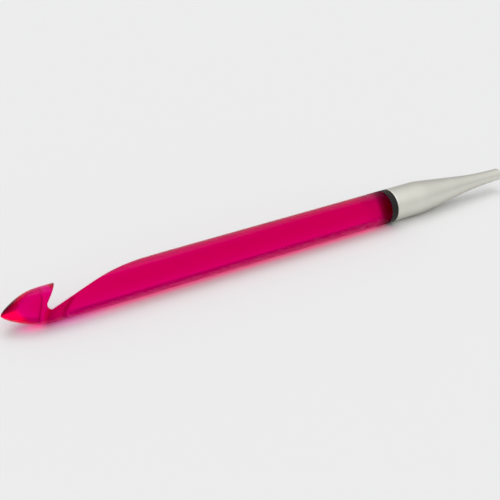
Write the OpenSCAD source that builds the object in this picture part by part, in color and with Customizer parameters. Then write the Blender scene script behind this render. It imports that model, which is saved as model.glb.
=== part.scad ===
// Interchangeable Tunisian crochet hook: a clear acrylic hook and shaft, a black collar
// ring and a tapered metal ferrule with a threaded socket for a cable. Millimetres.
//
// The hook lies along X on the plane z = 0, head towards -X and cable socket towards +X.
// The origin is on that plane, under the middle of the hook's length.
// The head is drawn from the tip in its own plane: u runs from the tip along the shaft,
// v from the shaft's axis towards the throat, and w across the hook.

/* [Hook] */
// Diameter of the shaft and of the head
shaft_d = 9; // [8:0.5:10]
// Length from the tip of the head to the end of the ferrule
overall_len = 150; // [140:1:180]
// Turn of the throat about the shaft's axis, from straight up towards +Y
throat_roll = 37.5; // [0:0.5:60]

/* [Nose] */
// Length of the nose, from the tip to where it meets the underside of the shaft
nose_len = 9.1; // [8.5:0.1:10.5]
// How far the tip stands off the shaft's axis, towards the throat
nose_offset = 0.3; // [0:0.1:0.8]
// Exponent of the nose's curve: 1 is a cone, and less is rounder
nose_power = 0.68; // [0.6:0.02:0.8]

/* [Throat] */
// Distance from the tip to the edge of the lip
lip_reach = 14.4; // [13.5:0.1:15.5]
// Depth of the throat below the top of the shaft
throat_depth = 6.3; // [5:0.1:6.6]
// Radius at the bottom of the throat
throat_r = 1; // [0.7:0.05:1.2]
// Lean of the lip's inner wall over the throat, in degrees
lip_lean = 42; // [30:1:44]
// Angle of the ramp that rises from the throat to the shaft, in degrees
ramp_angle = 17.4; // [15:0.1:20]
// Radius of the soft crest where the ramp meets the shaft
crest_r = 64; // [30:1:80]

/* [Collar and ferrule] */
// Width of the black collar ring
collar_w = 2; // [1.5:0.1:3]
// Length of the ferrule
ferrule_len = 39; // [38:0.5:45]
// Length of the ferrule's straight part, up to the corner of its shoulder
barrel_len = 9.7; // [8:0.1:11]
// Length of its taper, from the shoulder's corner to the corner of its waist
taper_len = 21.9; // [18:0.1:23]
// Diameter of the ferrule's small end
small_end_d = 3.36; // [3.34:0.02:4]

/* [Tenon joint] */
// Wall of the ferrule and of the collar ring around the tenon
socket_wall = 0.6; // [0.6:0.1:1.2]
// Thickness of the adhesive around the tenon and behind it
glue_gap = 0.1; // [0.05:0.05:0.2]
// Length of the tenon inside the ferrule
tenon_engage = 9.5; // [9:0.5:10.5]
// Depth of the glue grooves turned in the tenon
groove_depth = 0.25; // [0.1:0.05:0.4]

/* [Cable socket] */
// Tapping diameter of the M2.5 x 0.45 thread
tap_d = 2.05; // [1.9:0.05:2.1]
// Depth of the threaded hole
tap_depth = 9; // [6:0.5:10]

/* [Hidden] */

// Positions along the shaft, counted from the tip
shaft_r = shaft_d / 2;
ferrule_at = overall_len - ferrule_len;
collar_at = ferrule_at - collar_w;
tenon_len = collar_w + tenon_engage;

// Throat and ramp in the head's plane
throat_floor = shaft_r - throat_depth;
throat_v = throat_floor + throat_r;
wall_dir = [sin(lip_lean), cos(lip_lean)];
wall_rise = shaft_r - (throat_v + throat_r * sin(lip_lean));
throat_u = lip_reach - wall_rise * tan(lip_lean) + throat_r * cos(lip_lean);
ramp_foot = [throat_u, throat_v] + throat_r * [sin(ramp_angle), -cos(ramp_angle)];
crest_lift = 0.03;
crest_v = shaft_r + crest_lift;
crest_corner_u = ramp_foot[0] + (crest_v - ramp_foot[1]) / tan(ramp_angle);
crest_u = crest_corner_u + crest_r * tan(ramp_angle / 2);

// Tenon joint
socket_r = shaft_r - socket_wall;
tenon_r = socket_r - glue_gap;
groove_w = 1.2;
groove_pitch = 2.8;
groove_count = 3;

// Ferrule's outline, counted from its mouth. The waist's arc ends just before the rim.
edge_break = 0.12;
rim_round = 0.3;
rim_land = 0.05;
countersink = 0.3;
small_end_r = small_end_d / 2;
taper_angle = atan((shaft_r - small_end_r) / taper_len);
shoulder_r = 23;
shoulder_tangent = shoulder_r * tan(taper_angle / 2);
waist_corner = barrel_len + taper_len;
waist_tangent = ferrule_len - rim_round - rim_land - waist_corner;
waist_r = waist_tangent / tan(taper_angle / 2);

// Clearance that cutting shapes have beyond what they cut
over = 1;

nose_steps = 24;
throat_steps = 16;
crest_steps = 8;
arc_steps = 6;
$fn = 128;

// Points of an arc about c, from angle a0 to angle a1
function arc(c, r, a0, a1, steps) =
    [for (i = [0:steps]) c + r * [cos(a0 + (a1 - a0) * i / steps), sin(a0 + (a1 - a0) * i / steps)]];

// Nose radius at a distance u from the tip
function nose_radius(u) = (shaft_r + nose_offset) * pow(u / nose_len, nose_power);

// Puts what is drawn from the tip along +Z onto the hook's axis, lying on z = 0
module along_hook(at = 0)
    translate([at - overall_len / 2, 0, shaft_r]) rotate([0, 90, 0]) children();

// Puts what is drawn in the head's plane (X = u, Y = v, Z = w) onto the hook
module in_head_plane()
    translate([-overall_len / 2, 0, shaft_r]) rotate([90 - throat_roll, 0, 0]) children();

// Envelope of revolution whose front is the nose's curve, longer and wider than the shaft
module nose_envelope() {
    wide_r = shaft_r + nose_offset + over;
    wide_u = nose_len * pow(wide_r / (shaft_r + nose_offset), 1 / nose_power);
    curve = [for (i = [0:nose_steps]) wide_u * pow(i / nose_steps, 2)];
    in_head_plane() translate([0, nose_offset, 0]) rotate([0, 90, 0]) rotate_extrude()
        polygon(concat([for (u = curve) [nose_radius(u), u]],
                       [[wide_r, overall_len], [0, overall_len]]));
}

// Everything that the throat and its ramp take out of the head
module throat_cut() {
    bottom = arc([throat_u, throat_v], throat_r, 180 - lip_lean, 270 + ramp_angle, throat_steps);
    crest = arc([crest_u, crest_v - crest_r], crest_r, 90 + ramp_angle, 90, crest_steps);
    wall_top = bottom[0] + (wall_rise + over) / wall_dir[1] * wall_dir;
    outline = concat([wall_top], bottom, crest, [[crest_u, wall_top[1]]]);
    across = shaft_d + 2 * over;
    in_head_plane() translate([0, 0, -across / 2]) linear_extrude(across) polygon(outline);
}

// Tenon with its glue grooves, from the shaft's rear face
module tenon() {
    difference() {
        along_hook(collar_at) cylinder(r = tenon_r, h = tenon_len);
        for (i = [0:groove_count - 1])
            along_hook(ferrule_at + (i + 0.5) * groove_pitch)
                rotate_extrude()
                    translate([tenon_r - groove_depth, 0])
                        square([groove_depth + over, groove_w]);
    }
}

// One piece of clear acrylic: nose, throat, ramp, shaft and tenon
module hook_shaft() {
    color([0.80, 0, 0.32, 0.85]) {
        difference() {
            intersection() {
                along_hook() cylinder(r = shaft_r, h = collar_at);
                nose_envelope();
            }
            throat_cut();
        }
        tenon();
    }
}

// Black ring between the shaft's rear face and the ferrule's mouth
module collar_ring() {
    color([0.14, 0.13, 0.13])
        along_hook(collar_at) rotate_extrude()
            polygon([[socket_r, 0], [shaft_r - edge_break, 0], [shaft_r, edge_break],
                     [shaft_r, collar_w - edge_break], [shaft_r - edge_break, collar_w],
                     [socket_r, collar_w]]);
}

// Cured adhesive that fills the space around the tenon, its grooves and its end
module adhesive_bond() {
    color([0.35, 0.32, 0.30])
        difference() {
            along_hook(collar_at) cylinder(r = socket_r, h = tenon_len + glue_gap);
            tenon();
        }
}

// Turned metal connector: barrel, shoulder, taper and small end, bored from both ends
module ferrule() {
    shoulder = arc([barrel_len - shoulder_tangent, shaft_r - shoulder_r], shoulder_r,
                   90, 90 - taper_angle, arc_steps);
    waist = arc([waist_corner + waist_tangent, small_end_r + waist_r], waist_r,
                270 - taper_angle, 270, arc_steps);
    rim = arc([ferrule_len - rim_round, small_end_r - rim_round], rim_round, 90, 0, arc_steps);
    outline = concat([[0, 0], [0, shaft_r - edge_break], [edge_break, shaft_r]],
                     shoulder, waist, rim, [[ferrule_len, 0]]);
    color([0.80, 0.80, 0.78])
        difference() {
            along_hook(ferrule_at) rotate_extrude() polygon([for (p = outline) [p[1], p[0]]]);
            along_hook(ferrule_at - over)
                cylinder(r = socket_r, h = over + tenon_engage + glue_gap);
            along_hook(overall_len - tap_depth) cylinder(r = tap_d / 2, h = tap_depth + over);
            along_hook(overall_len - countersink)
                cylinder(r1 = tap_d / 2, r2 = tap_d / 2 + countersink, h = countersink);
        }
}

hook_shaft();
collar_ring();
adhesive_bond();
ferrule();
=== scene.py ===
import math

import bmesh
import bpy
import numpy as np
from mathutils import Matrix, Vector


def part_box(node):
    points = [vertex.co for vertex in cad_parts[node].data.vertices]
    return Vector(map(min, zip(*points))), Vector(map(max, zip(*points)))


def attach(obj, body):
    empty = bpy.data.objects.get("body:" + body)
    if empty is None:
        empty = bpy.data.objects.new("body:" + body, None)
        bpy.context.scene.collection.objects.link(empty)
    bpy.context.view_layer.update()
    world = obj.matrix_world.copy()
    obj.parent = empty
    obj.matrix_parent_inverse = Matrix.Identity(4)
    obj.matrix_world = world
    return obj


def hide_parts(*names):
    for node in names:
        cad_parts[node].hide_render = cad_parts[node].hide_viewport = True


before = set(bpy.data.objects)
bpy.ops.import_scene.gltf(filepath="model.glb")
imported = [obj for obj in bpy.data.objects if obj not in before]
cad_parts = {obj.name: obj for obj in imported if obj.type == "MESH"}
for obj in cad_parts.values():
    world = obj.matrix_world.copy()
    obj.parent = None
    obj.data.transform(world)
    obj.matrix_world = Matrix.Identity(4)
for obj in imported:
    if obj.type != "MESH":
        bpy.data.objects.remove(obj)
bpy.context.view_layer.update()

# Lengths are in millimetres until a mesh is finished. Blender and the frame are in metres.
MM = 0.001

# Head of the hook, in its own plane: u from the tip along the shaft, v from the shaft's
# axis towards the throat, w across. These repeat the CAD design's driving dimensions.
THROAT_ROLL = math.radians(37.5)
NOSE_LEN = 9.1
NOSE_OFFSET = 0.3
NOSE_POWER = 0.68
LIP_REACH = 14.4
THROAT_DEPTH = 6.3
THROAT_R = 1.0
LIP_LEAN = math.radians(42)
RAMP_ANGLE = math.radians(17.4)
CREST_R = 64.0
CREST_LIFT = 0.03

# Polished edges of the acrylic
NOSE_BLEND = 1.7
CUT_EDGE_ROUND = 0.28
CREST_FADE_SLOPE = 0.05

# Ferrule's outline and its thread
BARREL_LEN = 9.7
TAPER_LEN = 21.9
SMALL_END_R = 1.68
SHOULDER_R = 23.0
RIM_ROUND = 0.3
RIM_LAND = 0.05
THREAD_PITCH = 0.45
THREAD_MINOR_R = 1.025
THREAD_MAJOR_R = 1.25
TAP_DEPTH = 9.0
COUNTERSINK = 0.3
THREAD_RUN_OUT = 0.6
THREAD_ROWS_PER_TURN = 8
DRILL_TIP = 0.5

# Broken edge of the ferrule's mouth, as steps along and out from its corner
MOUTH_EDGE = ((0, -0.2), (0.01, -0.13), (0.25, -0.01), (0.32, 0), (0.6, 0))

# The thread's flanks, and the share of its length over which it starts and ends
FLANK_SLOPE = 1.35
FLANK_LAND = 0.1
THREAD_FADE = 0.08

# Tenon, its socket and its glue grooves
TENON_ENGAGE = 9.5
GLUE_GAP = 0.1
SOCKET_WALL = 0.6
GROOVE_DEPTH = 0.25
GROOVE_W = 1.2
GROOVE_PITCH = 2.8
GROOVE_COUNT = 3

# Where pieces are bonded, the dark one reaches this far into the clear one, so that the
# joint reads as wetted by glue and not as an air gap
WET = 0.02

# Faces round each turned piece
COLLAR_SEGMENTS = 160
GLUE_SEGMENTS = 96
FERRULE_SEGMENTS = 144

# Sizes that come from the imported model
shaft_low, shaft_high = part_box("hook_shaft")
collar_low, collar_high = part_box("collar_ring")
_, ferrule_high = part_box("ferrule")
TIP = Vector((shaft_low.x, 0, (shaft_low.z + shaft_high.z) / 2)) / MM
SHAFT_R = (shaft_high.z - shaft_low.z) / 2 / MM
COLLAR_AT = collar_low.x / MM - TIP.x
COLLAR_END = collar_high.x / MM - TIP.x
OVERALL_LEN = ferrule_high.x / MM - TIP.x
SOCKET_R = SHAFT_R - SOCKET_WALL
TENON_R = SOCKET_R - GLUE_GAP


# ---------------------------------------------------------------- shape of the head

def head_to_frame(points):
    """Points in the head's plane (u, v, w) as points of the frame, both in millimetres."""
    u, v, w = points.T
    y = v * math.sin(THROAT_ROLL) - w * math.cos(THROAT_ROLL)
    z = v * math.cos(THROAT_ROLL) + w * math.sin(THROAT_ROLL)
    return np.stack([u + TIP.x, y, z + TIP.z], 1)


def frame_to_head(points):
    """Points of the frame as points in the head's plane, both in millimetres."""
    x, y, z = (points - np.array(TIP)).T
    v = y * math.sin(THROAT_ROLL) + z * math.cos(THROAT_ROLL)
    w = z * math.sin(THROAT_ROLL) - y * math.cos(THROAT_ROLL)
    return np.stack([x, v, w], 1)


def round_join(a, b, radius):
    """Distance to the common part of two solids, with the edge between them rounded."""
    return np.minimum(np.maximum(a, b), -radius) + np.hypot(
        np.maximum(a + radius, 0), np.maximum(b + radius, 0)
    )


def soft_join(a, b, width):
    """The larger of two distances, blended where they differ by less than width."""
    return np.maximum(a, b) + np.maximum(width - np.abs(a - b), 0) ** 3 / (6 * width * width)


def blank_distance(u, v, w):
    """Distance to the uncut hook: a round bar with a pointed nose that stands off its axis."""
    bar = np.hypot(v, w) - SHAFT_R
    r = np.hypot(v - NOSE_OFFSET, w)
    reach = NOSE_LEN * (r / (SHAFT_R + NOSE_OFFSET)) ** (1 / NOSE_POWER)
    slope = reach / NOSE_POWER / np.maximum(r, 1e-6)
    nose = (reach - u) / np.hypot(1, slope)
    return soft_join(bar, nose, NOSE_BLEND)


def throat_outline():
    """The throat's arc, the feet and directions of its two walls, and the crest's centre."""
    wall = np.array([math.sin(LIP_LEAN), math.cos(LIP_LEAN)])
    ramp = np.array([math.cos(RAMP_ANGLE), math.sin(RAMP_ANGLE)])
    centre_v = SHAFT_R - THROAT_DEPTH + THROAT_R
    wall_rise = SHAFT_R - (centre_v + THROAT_R * math.sin(LIP_LEAN))
    centre_u = LIP_REACH - wall_rise * math.tan(LIP_LEAN) + THROAT_R * math.cos(LIP_LEAN)
    centre = np.array([centre_u, centre_v])
    wall_foot = centre + THROAT_R * np.array([-wall[1], wall[0]])
    ramp_foot = centre + THROAT_R * np.array([ramp[1], -ramp[0]])
    crest_v = SHAFT_R + CREST_LIFT
    corner_u = ramp_foot[0] + (crest_v - ramp_foot[1]) / math.tan(RAMP_ANGLE)
    crest_u = corner_u + CREST_R * math.tan(RAMP_ANGLE / 2)
    return centre, wall_foot, wall, ramp_foot, ramp, np.array([crest_u, crest_v - CREST_R])


def throat_distance(u, v):
    """How far a point is inside what the throat and its ramp take out of the bar."""
    centre, wall_foot, wall, ramp_foot, ramp, crest = throat_outline()
    up_wall = (u - wall_foot[0]) * wall[0] + (v - wall_foot[1]) * wall[1]
    up_ramp = (u - ramp_foot[0]) * ramp[0] + (v - ramp_foot[1]) * ramp[1]
    past_wall = (u - wall_foot[0]) * wall[1] - (v - wall_foot[1]) * wall[0]
    over_ramp = (v - ramp_foot[1]) * ramp[0] - (u - ramp_foot[0]) * ramp[1]
    crest_turn = np.arctan2(u - crest[0], v - crest[1])
    over_crest = np.hypot(u - crest[0], v - crest[1]) - CREST_R
    over_shaft = v - crest[1] - CREST_R - (u - crest[0]) * CREST_FADE_SLOPE
    over_ramp = np.where(crest_turn > -RAMP_ANGLE, over_crest, over_ramp)
    over_ramp = np.where(crest_turn > 0, over_shaft, over_ramp)
    in_arc = THROAT_R - np.hypot(u - centre[0], v - centre[1])
    beyond = 1e3
    near_wall = np.where(up_wall > 0, past_wall, beyond)
    near_ramp = np.where(up_ramp > 0, over_ramp, beyond)
    nearest = np.minimum(near_wall, near_ramp)
    return np.where(nearest < beyond, nearest, in_arc)


def hook_distance(points):
    """Signed distance to the finished head, with polished edges along the throat."""
    u, v, w = points.T
    return round_join(blank_distance(u, v, w), throat_distance(u, v), CUT_EDGE_ROUND)


def hook_gradient(points):
    """Gradient of the signed distance, by central differences."""
    step = 1e-3
    parts = []
    for axis in range(3):
        shift = np.zeros(3)
        shift[axis] = step
        rise = hook_distance(points + shift) - hook_distance(points - shift)
        parts.append(rise / (2 * step))
    return np.stack(parts, 1)


def onto_hook(points, passes=6):
    """Moves points onto the hook's surface, along the gradient."""
    for _ in range(passes):
        gradient = hook_gradient(points)
        size = np.maximum((gradient**2).sum(1), 0.05)
        points = points - gradient * (hook_distance(points) / size)[:, None]
    return points


# ---------------------------------------------------------------- mesh helpers

def new_object(name, mesh):
    piece = bpy.data.objects.new(name, mesh)
    bpy.context.scene.collection.objects.link(piece)
    return piece


def mesh_points(mesh):
    points = np.empty(len(mesh.vertices) * 3)
    mesh.vertices.foreach_get("co", points)
    return points.reshape(-1, 3)


def finish_mesh(name, bm):
    """Closes a mesh in millimetres into a smooth object in metres, with its normals outward."""
    bmesh.ops.recalc_face_normals(bm, faces=bm.faces)
    bmesh.ops.scale(bm, vec=(MM, MM, MM), verts=bm.verts)
    mesh = bpy.data.meshes.new(name)
    bm.to_mesh(mesh)
    bm.free()
    mesh.shade_smooth()
    return new_object(name, mesh)


def arc(centre, radius, start, end, steps):
    """Points of an arc, with its angles in degrees."""
    turns = [math.radians(start + (end - start) * i / steps) for i in range(steps + 1)]
    return [(centre[0] + radius * math.cos(t), centre[1] + radius * math.sin(t)) for t in turns]


def rounded(corners, hold=3.0):
    """A closed outline of (u, r, radius) corners as points: each corner becomes an arc, with a
    point held a little way off on both sides so that smooth shading keeps its flats flat."""
    points = []
    for i, (u, r, radius) in enumerate(corners):
        here = Vector((u, r))
        back = (Vector(corners[i - 1][:2]) - here)
        ahead = (Vector(corners[(i + 1) % len(corners)][:2]) - here)
        if radius == 0:
            points.append((u, r))
            continue
        opening = back.angle(ahead)
        reach = radius / math.tan(opening / 2)
        far = min(hold * radius, 0.45 * back.length, 0.45 * ahead.length)
        back.normalize()
        ahead.normalize()
        points.append(tuple(here + back * max(far, reach * 1.2)))
        start, end = here + back * reach, here + ahead * reach
        middle = here + (back + ahead).normalized() * (radius / math.sin(opening / 2) - radius)
        points += [tuple(start), tuple(middle), tuple(end)]
        points.append(tuple(here + ahead * max(far, reach * 1.2)))
    return points


def lathe(name, outline, segments, radius_at=None):
    """Turns a closed outline of (u, r) points about the hook's axis. radius_at may change a
    point's radius by its index and its angle, as for a thread."""
    bm = bmesh.new()
    rings = []
    for i, (u, r) in enumerate(outline):
        ring = []
        for s in range(segments):
            turn = 2 * math.pi * s / segments
            here = radius_at(i, u, r, turn) if radius_at else r
            place = (u + TIP.x, here * math.sin(turn), here * math.cos(turn) + TIP.z)
            ring.append(bm.verts.new(place))
        rings.append(ring)
    for a, b in zip(rings, rings[1:] + rings[:1]):
        for s in range(segments):
            t = (s + 1) % segments
            bm.faces.new((a[s], a[t], b[t], b[s]))
    return finish_mesh(name, bm)


# ---------------------------------------------------------------- the acrylic hook

# The head is remeshed a little past where it is cut off, and the rest of the shaft is turned
VOXEL = 0.146
REMESH_END = 44.5
HEAD_END = 43.0
RELAX_PASSES = 4
MERGE = 0.01


def voxel_head():
    """The CAD head as an even quad mesh, in millimetres, cut off square at REMESH_END."""
    bm = bmesh.new()
    bm.from_mesh(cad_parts["hook_shaft"].data)
    bmesh.ops.scale(bm, vec=(1 / MM, 1 / MM, 1 / MM), verts=bm.verts)
    bmesh.ops.remove_doubles(bm, verts=bm.verts, dist=1e-4)
    cut_off(bm, REMESH_END)
    edges = [e for e in bm.edges if e.is_boundary]
    bmesh.ops.holes_fill(bm, edges=edges)
    mesh = bpy.data.meshes.new("head_blank")
    bm.to_mesh(mesh)
    bm.free()
    blank = new_object("head_blank", mesh)
    remesh = blank.modifiers.new("remesh", "REMESH")
    remesh.mode = "VOXEL"
    remesh.voxel_size = VOXEL
    graph = bpy.context.evaluated_depsgraph_get()
    even = bpy.data.meshes.new_from_object(blank.evaluated_get(graph))
    bpy.data.objects.remove(blank)
    bpy.data.meshes.remove(mesh)
    return even


def cut_off(bm, at):
    """Removes what lies past a distance from the tip."""
    whole = bm.verts[:] + bm.edges[:] + bm.faces[:]
    bmesh.ops.bisect_plane(
        bm, geom=whole, dist=1e-5, clear_outer=True,
        plane_co=(TIP.x + at, 0, 0), plane_no=(1, 0, 0)
    )


def relaxed_head(even):
    """The even mesh relaxed along the surface and moved onto the exact hook."""
    points = frame_to_head(mesh_points(even))
    edges = np.empty(len(even.edges) * 2, int)
    even.edges.foreach_get("vertices", edges)
    a, b = edges.reshape(-1, 2).T
    count = np.bincount(edges, minlength=len(points))[:, None]
    on_hook = points[:, 0] < REMESH_END - 3 * VOXEL
    for _ in range(RELAX_PASSES):
        total = np.zeros_like(points)
        np.add.at(total, a, points[b])
        np.add.at(total, b, points[a])
        points[on_hook] = (0.5 * points + 0.5 * total / count)[on_hook]
        points[on_hook] = onto_hook(points[on_hook], passes=2)
    points[on_hook] = onto_hook(points[on_hook])
    even.vertices.foreach_set("co", head_to_frame(points).ravel())
    return even


def tenon_outline():
    """(u, r) from the shaft to the middle of the tenon's end, grooves included."""
    rear_edge, root, groove_edge, end_edge, end_middle = 0.12, 0.1, 0.05, 0.2, 0.4
    corners = [(COLLAR_AT, SHAFT_R, rear_edge), (COLLAR_AT, TENON_R, root)]
    groove_floor = TENON_R - GROOVE_DEPTH
    for i in range(GROOVE_COUNT):
        start = COLLAR_END + (i + 0.5) * GROOVE_PITCH
        end = start + GROOVE_W
        corners += [(start, TENON_R, groove_edge), (start, groove_floor, groove_edge)]
        corners += [(end, groove_floor, groove_edge), (end, TENON_R, groove_edge)]
    tenon_end = COLLAR_END + TENON_ENGAGE
    corners += [(tenon_end, TENON_R, end_edge), (tenon_end, end_middle, 0)]
    outline = rounded([(HEAD_END, SHAFT_R, 0), *corners])
    shaft_stations = 16
    length = COLLAR_AT - HEAD_END
    shaft = [(HEAD_END + length * i / shaft_stations, SHAFT_R) for i in range(1, shaft_stations)]
    return shaft + outline[1:]


def add_rear(bm):
    """Turns the rest of the shaft and its tenon from the loop that the cut left open."""
    loop = [e for e in bm.edges if e.is_boundary]
    verts = {v for e in loop for v in e.verts}
    angle = {v: math.atan2(v.co.y, v.co.z - TIP.z) for v in verts}
    for v in verts:
        a = angle[v]
        v.co = (TIP.x + HEAD_END, SHAFT_R * math.sin(a), SHAFT_R * math.cos(a) + TIP.z)
    ring = {v: v for v in verts}
    for u, r in tenon_outline():
        new = {v: bm.verts.new((TIP.x + u, r * math.sin(a), r * math.cos(a) + TIP.z))
               for v, a in angle.items()}
        for e in loop:
            p, q = e.verts
            bm.faces.new((ring[p], ring[q], new[q], new[p]))
        ring = new
    bm.faces.new(sorted(ring.values(), key=lambda v: math.atan2(v.co.y, v.co.z - TIP.z)))


def make_hook():
    head = relaxed_head(voxel_head())
    bm = bmesh.new()
    bm.from_mesh(head)
    bpy.data.meshes.remove(head)
    cut_off(bm, HEAD_END)
    rim = {v for e in bm.edges if e.is_boundary for v in e.verts}
    bmesh.ops.remove_doubles(bm, verts=list(rim), dist=MERGE)
    add_rear(bm)
    return finish_mesh("acrylic_hook", bm)


# ---------------------------------------------------------------- turned pieces

def make_collar():
    outer_edge, inner_edge = 0.1, 0.05
    corners = [(COLLAR_AT - WET, TENON_R, inner_edge), (COLLAR_AT - WET, SHAFT_R, outer_edge),
               (COLLAR_END, SHAFT_R, outer_edge), (COLLAR_END, TENON_R, inner_edge)]
    return lathe("black_collar", rounded(corners), COLLAR_SEGMENTS)


def make_adhesive():
    """A sleeve between tenon and socket that fills the grooves and closes behind the tenon."""
    end = COLLAR_END + TENON_ENGAGE
    middle = 0.02
    corners = [(COLLAR_AT, TENON_R - WET, 0), (COLLAR_AT, SOCKET_R - WET, 0)]
    corners += [(end + GLUE_GAP - WET, SOCKET_R - WET, 0), (end + GLUE_GAP - WET, middle, 0)]
    corners += [(end - WET, middle, 0), (end - WET, TENON_R - WET, 0)]
    for i in reversed(range(GROOVE_COUNT)):
        start = COLLAR_END + (i + 0.5) * GROOVE_PITCH
        depth = TENON_R - GROOVE_DEPTH - WET
        corners += [(start + GROOVE_W + WET, TENON_R - WET, 0), (start + GROOVE_W + WET, depth, 0)]
        corners += [(start - WET, depth, 0), (start - WET, TENON_R - WET, 0)]
    return lathe("glue_sleeve", rounded(corners), GLUE_SEGMENTS)


def ferrule_outline():
    """Outline of the ferrule as (u, r) points, and which of them the thread shapes."""
    small_r = SMALL_END_R
    near_axis = 0.03
    taper_angle = math.atan((SHAFT_R - small_r) / TAPER_LEN)
    taper = math.degrees(taper_angle)
    shoulder_at = COLLAR_END + BARREL_LEN - SHOULDER_R * math.tan(taper_angle / 2)
    waist_at = OVERALL_LEN - RIM_ROUND - RIM_LAND
    waist_r = (waist_at - COLLAR_END - BARREL_LEN - TAPER_LEN) / math.tan(taper_angle / 2)
    mouth = [(COLLAR_END, SOCKET_R + 0.05)]
    mouth += [(COLLAR_END + along, SHAFT_R + out) for along, out in MOUTH_EDGE]
    shoulder = arc((shoulder_at, SHAFT_R - SHOULDER_R), SHOULDER_R, 90, 90 - taper, 10)
    waist = arc((waist_at, small_r + waist_r), waist_r, 270 - taper, 270, 14)
    end = OVERALL_LEN
    rim = arc((end - RIM_ROUND, small_r - RIM_ROUND), RIM_ROUND, 90, 0, 6)
    bore_r = THREAD_MINOR_R + COUNTERSINK
    bore_mouth = [(end, bore_r + 0.03), (end, bore_r)]
    bore_end = end - TAP_DEPTH
    threaded_len = TAP_DEPTH - COUNTERSINK - THREAD_RUN_OUT
    rows = int(threaded_len / THREAD_PITCH * THREAD_ROWS_PER_TURN)
    thread = [(end - COUNTERSINK - i * THREAD_PITCH / THREAD_ROWS_PER_TURN, THREAD_MINOR_R)
              for i in range(rows)]
    bottom = [(bore_end + 0.1, THREAD_MINOR_R), (bore_end, THREAD_MINOR_R - 0.05)]
    drill_tip = [(bore_end - DRILL_TIP, near_axis)]
    outside = mouth + shoulder + waist + rim + bore_mouth
    threaded = range(len(outside), len(outside) + rows)
    socket_end = COLLAR_END + TENON_ENGAGE + GLUE_GAP
    core = [(socket_end, near_axis), (socket_end, SOCKET_R - 0.05), (socket_end - 0.1, SOCKET_R)]
    core += [(COLLAR_END + 0.2, SOCKET_R), (COLLAR_END + 0.05, SOCKET_R)]
    return outside + thread + bottom + drill_tip + core, threaded


def make_ferrule():
    outline, threaded = ferrule_outline()
    fade = len(threaded) * THREAD_FADE

    def with_thread(i, u, r, turn):
        if i not in threaded:
            return r
        step = i - threaded.start
        share = min(1.0, (step + 1) / fade, (len(threaded) - step) / fade)
        phase = (u / THREAD_PITCH - turn / (2 * math.pi)) % 1
        flank = min(1.0, max(0.0, FLANK_SLOPE * (1 - abs(2 * phase - 1)) - FLANK_LAND))
        return r + share * flank * (THREAD_MAJOR_R - THREAD_MINOR_R)

    return lathe("satin_ferrule", outline, FERRULE_SEGMENTS, with_thread)


# ---------------------------------------------------------------- materials

def node_material(name):
    """A material with one Principled shader, and the calls that add and join nodes."""
    material = bpy.data.materials.new(name)
    material.use_nodes = True
    tree = material.node_tree
    shader = tree.nodes["Principled BSDF"]

    def add(kind, **values):
        node = tree.nodes.new(kind)
        for key, value in values.items():
            if hasattr(node, key):
                setattr(node, key, value)
            else:
                node.inputs[key.replace("_", " ")].default_value = value
        return node

    return material, shader, add, tree.links.new


def along_shaft(add, link, scale):
    """Object coordinates scaled by different amounts along and across the shaft."""
    place = add("ShaderNodeTexCoord")
    mapping = add("ShaderNodeMapping")
    mapping.inputs["Scale"].default_value = scale
    link(place.outputs["Object"], mapping.inputs["Vector"])
    return mapping.outputs["Vector"]


def ramp_between(add, link, source, low, high):
    """Maps a 0 to 1 value to the range low to high."""
    spread = add("ShaderNodeMapRange")
    spread.inputs["To Min"].default_value = low
    spread.inputs["To Max"].default_value = high
    link(source, spread.inputs["Value"])
    return spread.outputs["Result"]


# Dye of the acrylic: what it lets through, and how strongly it takes the rest, per metre
DYE_PASSES = (0.986, 0.0, 0.869, 1)
DYE_DENSITY = 1600
ACRYLIC_IOR = 1.49
GLOSS_TINT = (1, 0.0, 0.25, 1)

# Roughness of the polished acrylic, and what flush sanding adds next to the ring
POLISH_HAZE = (0.20, 0.225)
RING_HAZE = 0.5
RING_HAZE_REACH = 6.0


def add_ring_haze(add, link, polish):
    """Adds the haze that is left beside the ring, where shaft and ring are sanded flush."""
    apart = add("ShaderNodeSeparateXYZ")
    link(add("ShaderNodeTexCoord").outputs["Object"], apart.inputs[0])
    near_ring = add("ShaderNodeMapRange")
    near_ring.inputs["From Min"].default_value = (TIP.x + COLLAR_AT - RING_HAZE_REACH) * MM
    near_ring.inputs["From Max"].default_value = (TIP.x + COLLAR_AT) * MM
    near_ring.inputs["To Max"].default_value = RING_HAZE
    link(apart.outputs["X"], near_ring.inputs["Value"])
    total = add("ShaderNodeMath", operation="ADD")
    link(polish, total.inputs[0])
    link(near_ring.outputs["Result"], total.inputs[1])
    return total.outputs[0]


def acrylic_material():
    """Clear cast acrylic, dyed magenta through its depth, with the faint haze of polishing."""
    material, shader, add, link = node_material("magenta_acrylic")
    shader.inputs["Base Color"].default_value = (1, 1, 1, 1)
    shader.inputs["Transmission Weight"].default_value = 1
    shader.inputs["IOR"].default_value = ACRYLIC_IOR
    shader.inputs["Specular Tint"].default_value = GLOSS_TINT
    haze = add("ShaderNodeTexNoise", Scale=1.0, Detail=3.0)
    link(along_shaft(add, link, (150, 600, 600)), haze.inputs["Vector"])
    polish = ramp_between(add, link, haze.outputs["Fac"], *POLISH_HAZE)
    link(add_ring_haze(add, link, polish), shader.inputs["Roughness"])
    depth = add("ShaderNodeVolumeAbsorption")
    depth.inputs["Color"].default_value = DYE_PASSES
    depth.inputs["Density"].default_value = DYE_DENSITY
    output = material.node_tree.nodes["Material Output"]
    link(depth.outputs["Volume"], output.inputs["Volume"])
    return material


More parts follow.
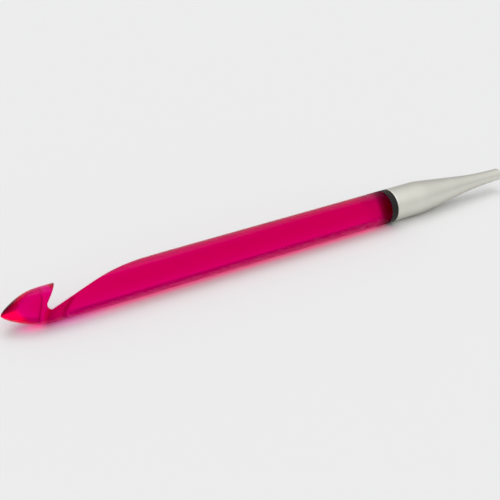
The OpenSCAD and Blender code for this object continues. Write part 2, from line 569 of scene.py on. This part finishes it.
def turned_bump(add, link, shader, lines_per_m, strength, distance):
    """Gives a piece the fine rings that turning leaves, and returns their pattern."""
    lines = add("ShaderNodeTexNoise", Scale=1.0, Detail=4.0, Roughness=0.6)
    link(along_shaft(add, link, (lines_per_m, 40, 40)), lines.inputs["Vector"])
    bump = add("ShaderNodeBump", Strength=strength, Distance=distance)
    link(lines.outputs["Fac"], bump.inputs["Height"])
    link(bump.outputs["Normal"], shader.inputs["Normal"])
    return lines.outputs["Fac"]


def nickel_material():
    """Satin nickel plate over a turned body."""
    material, shader, add, link = node_material("satin_nickel")
    shader.inputs["Metallic"].default_value = 1
    lines = turned_bump(add, link, shader, 9000, 0.25, 0.00001)
    clouds = add("ShaderNodeTexNoise", Scale=220.0, Detail=3.0)
    link(add("ShaderNodeTexCoord").outputs["Object"], clouds.inputs["Vector"])
    tone = add("ShaderNodeMix", data_type="RGBA")
    tone.inputs["A"].default_value = (0.67, 0.665, 0.60, 1)
    tone.inputs["B"].default_value = (0.75, 0.745, 0.68, 1)
    link(clouds.outputs["Fac"], tone.inputs["Factor"])
    link(tone.outputs["Result"], shader.inputs["Base Color"])
    link(ramp_between(add, link, lines, 0.30, 0.46), shader.inputs["Roughness"])
    shader.inputs["Anisotropic"].default_value = 0.35
    return material


def collar_material():
    """Black moulded ring, semi-gloss, with turning marks."""
    material, shader, add, link = node_material("black_ring")
    lines = turned_bump(add, link, shader, 7000, 0.2, 0.00001)
    tone = add("ShaderNodeMix", data_type="RGBA")
    tone.inputs["A"].default_value = (0.012, 0.010, 0.010, 1)
    tone.inputs["B"].default_value = (0.026, 0.022, 0.021, 1)
    link(lines, tone.inputs["Factor"])
    link(tone.outputs["Result"], shader.inputs["Base Color"])
    link(ramp_between(add, link, lines, 0.32, 0.5), shader.inputs["Roughness"])
    shader.inputs["Specular IOR Level"].default_value = 0.25
    return material


def adhesive_material():
    """Cured epoxy, a dull grey-brown."""
    material, shader, add, link = node_material("cured_epoxy")
    cloud = add("ShaderNodeTexNoise", Scale=700.0, Detail=2.0)
    link(add("ShaderNodeTexCoord").outputs["Object"], cloud.inputs["Vector"])
    tone = add("ShaderNodeMix", data_type="RGBA")
    tone.inputs["A"].default_value = (0.30, 0.28, 0.26, 1)
    tone.inputs["B"].default_value = (0.36, 0.34, 0.31, 1)
    link(cloud.outputs["Fac"], tone.inputs["Factor"])
    link(tone.outputs["Result"], shader.inputs["Base Color"])
    link(ramp_between(add, link, cloud.outputs["Fac"], 0.35, 0.5), shader.inputs["Roughness"])
    return material


def floor_material():
    """Matt pale board, without any gloss."""
    material, shader, _, _ = node_material("pale_floor")
    shader.inputs["Base Color"].default_value = FLOOR_TONE
    shader.inputs["Roughness"].default_value = 1.0
    shader.inputs["Specular IOR Level"].default_value = 0.0
    return material


# ---------------------------------------------------------------- the scene

# Where the camera stands, from the hook's tip in millimetres, and how it is turned
CAMERA_FROM_TIP = Vector((-86.5, -240.9, 145.5))
CAMERA_TURN = math.radians(32.5)
CAMERA_DOWN = math.radians(27.19)
CAMERA_SENSOR = 36
CAMERA_LENS = 91.62

# Colour of the floor, and half its side in metres
FLOOR_TONE = (0.705, 0.705, 0.71, 1)
FLOOR_HALF = 3.0

# The studio's large soft light is overhead, a little towards the camera. Its brightness from
# dead opposite (0) to straight towards (1) that light
BRIGHT_SIDE = (-0.227, -0.356, 0.906)
SKY = ((0.29, 0.46), (0.41, 0.52), (0.54, 0.62), (0.66, 0.80),
       (0.79, 0.94), (0.91, 1.06), (0.96, 1.4), (1.0, 1.6))

# A soft lamp high behind the hook, which draws its shadow and its magenta glow to the front
BACK_LAMP_SIDE = Vector((0.14, 0.30, 0.94))
BACK_LAMP_STRENGTH = 0.6
BACK_LAMP_SPREAD = math.radians(40)

# Darkest tone of the picture, which is shown as black
BLACK_LEVEL = 0.012

def place(piece, material, node, slot):
    """Gives a finished piece its material and its body, and hides the CAD part named node. The
    slot is not used.
    """
    piece.data.materials.append(material)
    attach(piece, "root")
    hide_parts(node)


def make_floor():
    half = FLOOR_HALF
    mesh = bpy.data.meshes.new("floor")
    corners = [(-half, -half, 0), (half, -half, 0), (half, half, 0), (-half, half, 0)]
    mesh.from_pydata(corners, [], [(0, 1, 2, 3)])
    floor = new_object("floor", mesh)
    floor.data.materials.append(floor_material())


def make_camera():
    """The photograph's view: level, from in front of the tip and above, with a long lens."""
    data = bpy.data.cameras.new("camera")
    data.sensor_width = CAMERA_SENSOR
    data.lens = CAMERA_LENS
    camera = bpy.data.objects.new("camera", data)
    bpy.context.scene.collection.objects.link(camera)
    camera.location = (TIP + CAMERA_FROM_TIP) * MM
    level = math.cos(CAMERA_DOWN)
    look = Vector((math.sin(CAMERA_TURN) * level, math.cos(CAMERA_TURN) * level,
                   -math.sin(CAMERA_DOWN)))
    camera.rotation_mode = "QUATERNION"
    camera.rotation_quaternion = look.to_track_quat("-Z", "Y")
    bpy.context.scene.camera = camera



def make_sky():
    """A soft studio all round, as in a light tent, that depends only on direction."""
    world = bpy.data.worlds.new("studio")
    world.use_nodes = True
    tree = world.node_tree
    direction = tree.nodes.new("ShaderNodeTexCoord")
    towards = tree.nodes.new("ShaderNodeVectorMath")
    towards.operation = "DOT_PRODUCT"
    towards.inputs[1].default_value = BRIGHT_SIDE
    share = tree.nodes.new("ShaderNodeMapRange")
    share.inputs["From Min"].default_value = -1
    sky = tree.nodes.new("ShaderNodeValToRGB")
    while len(sky.color_ramp.elements) < len(SKY):
        sky.color_ramp.elements.new(0.5)
    for element, (position, brightness) in zip(sky.color_ramp.elements, SKY):
        element.position = position
        element.color = (brightness, brightness, brightness, 1)
    tree.links.new(direction.outputs["Generated"], towards.inputs[0])
    tree.links.new(towards.outputs["Value"], share.inputs["Value"])
    tree.links.new(share.outputs["Result"], sky.inputs["Fac"])
    tree.links.new(sky.outputs["Color"], tree.nodes["Background"].inputs["Color"])
    bpy.context.scene.world = world


def make_back_lamp():
    """The lamp lights the floor through the acrylic. The metal doesn't mirror it."""
    data = bpy.data.lights.new("back_lamp", "SUN")
    data.energy = BACK_LAMP_STRENGTH
    data.angle = BACK_LAMP_SPREAD
    lamp = bpy.data.objects.new("back_lamp", data)
    bpy.context.scene.collection.objects.link(lamp)
    lamp.rotation_mode = "QUATERNION"
    lamp.rotation_quaternion = BACK_LAMP_SIDE.to_track_quat("Z", "Y")
    lamp.visible_glossy = False


make_camera()
place(make_hook(), acrylic_material(), "hook_shaft", "acrylic")
place(make_collar(), collar_material(), "collar_ring", "black_plastic")
place(make_adhesive(), adhesive_material(), "adhesive_bond", "adhesive")
place(make_ferrule(), nickel_material(), "ferrule", "satin_nickel")
make_floor()
make_sky()
make_back_lamp()

view = bpy.context.scene.view_settings
view.view_transform = "Standard"
view.look = "None"
view.use_curve_mapping = True
view.curve_mapping.black_level = (BLACK_LEVEL, BLACK_LEVEL, BLACK_LEVEL)
view.curve_mapping.update()
cycles = bpy.context.scene.cycles
cycles.max_bounces = 32
cycles.transmission_bounces = 32
cycles.glossy_bounces = 12
cycles.blur_glossy = 0.2
